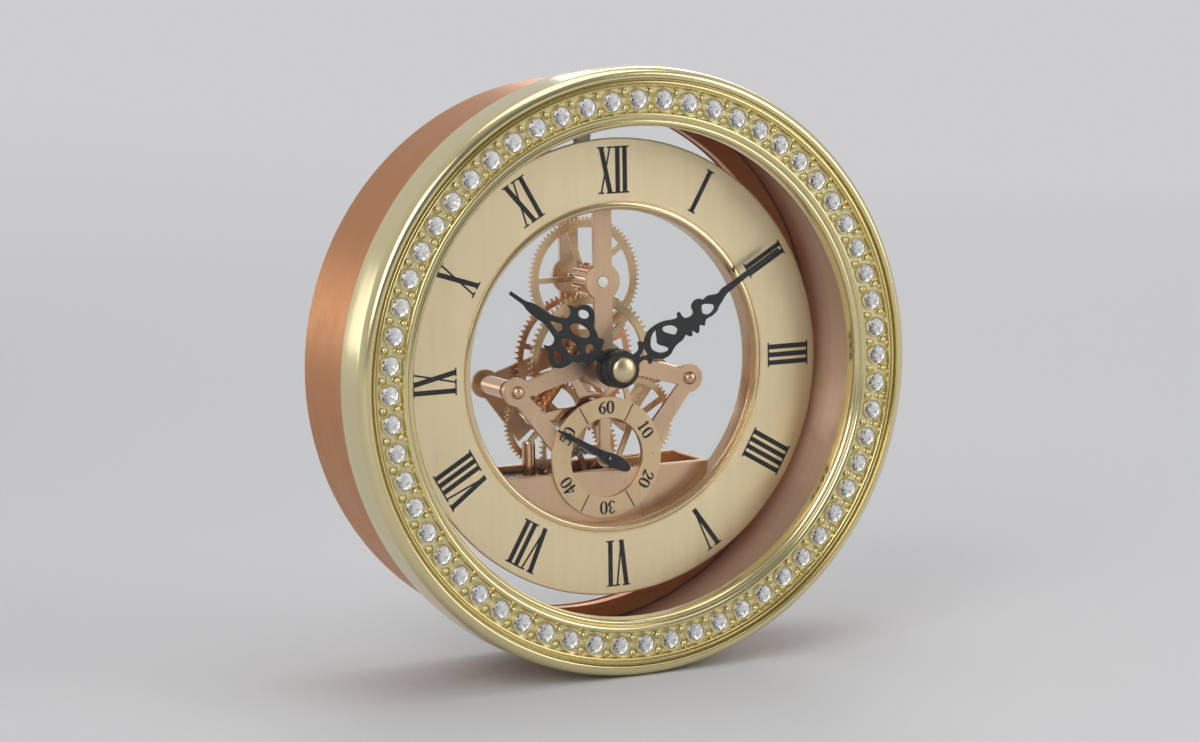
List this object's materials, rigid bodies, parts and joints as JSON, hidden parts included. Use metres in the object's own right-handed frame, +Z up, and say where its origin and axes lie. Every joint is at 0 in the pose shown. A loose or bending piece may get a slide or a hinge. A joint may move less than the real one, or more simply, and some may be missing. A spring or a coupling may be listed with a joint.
{
  "type": "gear wall clock",
  "caption": "Round skeleton wall clock with a stone-set bezel, an open dial ring and a working train of visible wheels.",
  "frame": {"origin": "where the axis of the wall screw in the keyhole meets the wall", "axes": "-Y out of the dial towards the viewer, +Y into the wall, +Z up, +X to the 3 o'clock side"},
  "size_m": [0.16, 0.0479, 0.16],
  "materials": {
    "gold": "polished gold-coloured plating",
    "copper": "brushed copper-coloured",
    "pane": "clear",
    "crystal": "cut clear stones",
    "champagne": "linear brushed",
    "bright": "polished",
    "rose": "fine brushed rose gold",
    "rose_bright": "polished rose gold",
    "wheel_brass": "satin",
    "black": "satin black",
    "steel": "bright",
    "jewel": "polished white",
    "cell": "plain wrapped cell",
    "board": "matte",
    "magnet": "plain",
    "wire": "enamelled copper wire",
    "door": "satin",
    "knob": "matte"
  },
  "bodies": {
    "case": {"bezel": "gold", "case_tube": "copper", "front_glass": "pane", "glass_ring": "copper", "crystal_band": "crystal", "dial_ring": "champagne", "dial_rim": "bright", "dial_hoop": "rose_bright", "front_plate": "rose", "rear_plate": "rose", "upper_jewel": "jewel", "pillar_left": "rose_bright", "pillar_right": "rose_bright", "pillar_top": "rose_bright", "screw_left": "bright", "screw_right": "bright", "screw_top": "bright", "spacer_left": "rose_bright", "spacer_right": "rose_bright", "spacer_top": "rose_bright", "base_box": "rose_bright", "base_front": "rose", "battery": "cell", "quartz_can": "rose_bright", "contact_plus": "steel", "contact_spring": "steel", "circuit_board": "board", "rear_seat": "copper", "rear_ring": "copper", "rear_pane": "pane", "hanger_plate": "steel", "seconds_dial": "champagne", "stator": "rose_bright", "coil": "wire", "motor_cock": "rose"},
    "minute": {"minute_hand": "black", "cap_nut": "bright", "minute_arbor": "steel", "cannon_pinion": "wheel_brass", "setting_knob": "knob"},
    "hour": {"hour_hand": "black", "hour_pipe": "wheel_brass", "hour_wheel": "wheel_brass"},
    "motion": {"motion_wheel": "wheel_brass", "motion_arbor": "rose_bright"},
    "seconds": {"seconds_hand": "black", "seconds_arbor": "steel", "seconds_wheel": "wheel_brass"},
    "third": {"third_wheel": "wheel_brass", "third_arbor": "steel"},
    "centre": {"centre_wheel": "wheel_brass"},
    "intermediate": {"intermediate_wheel": "wheel_brass", "intermediate_arbor": "steel"},
    "rotor": {"rotor_arbor": "steel", "rotor_magnet": "magnet"},
    "door": {"battery_door": "door"}
  },
  "joints": [
    {"name": "minute_turn", "type": "hinge", "parent": "case", "child": "minute", "pos_m": [0, -0.0168, -0.0644], "axis": [0, 1, 0], "continuous": true},
    {"name": "hour_turn", "type": "hinge", "parent": "case", "child": "hour", "pos_m": [0, -0.0168, -0.0644], "axis": [0, 1, 0], "continuous": true},
    {"name": "motion_turn", "type": "hinge", "parent": "case", "child": "motion", "pos_m": [0, -0.0168, -0.0422], "axis": [0, 1, 0], "continuous": true},
    {"name": "seconds_turn", "type": "hinge", "parent": "case", "child": "seconds", "pos_m": [0, -0.0168, -0.0892], "axis": [0, 1, 0], "continuous": true},
    {"name": "third_turn", "type": "hinge", "parent": "case", "child": "third", "pos_m": [-0.01061, -0.0168, -0.08069], "axis": [0, 1, 0], "continuous": true},
    {"name": "centre_turn", "type": "hinge", "parent": "case", "child": "centre", "pos_m": [0, -0.0168, -0.0644], "axis": [0, 1, 0], "continuous": true},
    {"name": "intermediate_turn", "type": "hinge", "parent": "case", "child": "intermediate", "pos_m": [0.01061, -0.0168, -0.08069], "axis": [0, 1, 0], "continuous": true},
    {"name": "rotor_turn", "type": "hinge", "parent": "case", "child": "rotor", "pos_m": [-0.00271, -0.0168, -0.07636], "axis": [0, 1, 0], "continuous": true},
    {"name": "door_hinge", "type": "hinge", "parent": "case", "child": "door", "pos_m": [0.004, -0.0016, -0.1122], "axis": [-1, 0, 0], "range_deg": [0, 100]}
  ],
  "couplings": [
    {"joint": "hour_turn", "follows": "minute_turn", "ratio": 0.083333},
    {"joint": "motion_turn", "follows": "minute_turn", "ratio": -0.375},
    {"joint": "third_turn", "follows": "seconds_turn", "ratio": -0.13333},
    {"joint": "centre_turn", "follows": "seconds_turn", "ratio": 0.016667},
    {"joint": "intermediate_turn", "follows": "seconds_turn", "ratio": -5},
    {"joint": "rotor_turn", "follows": "seconds_turn", "ratio": 30}
  ]
}
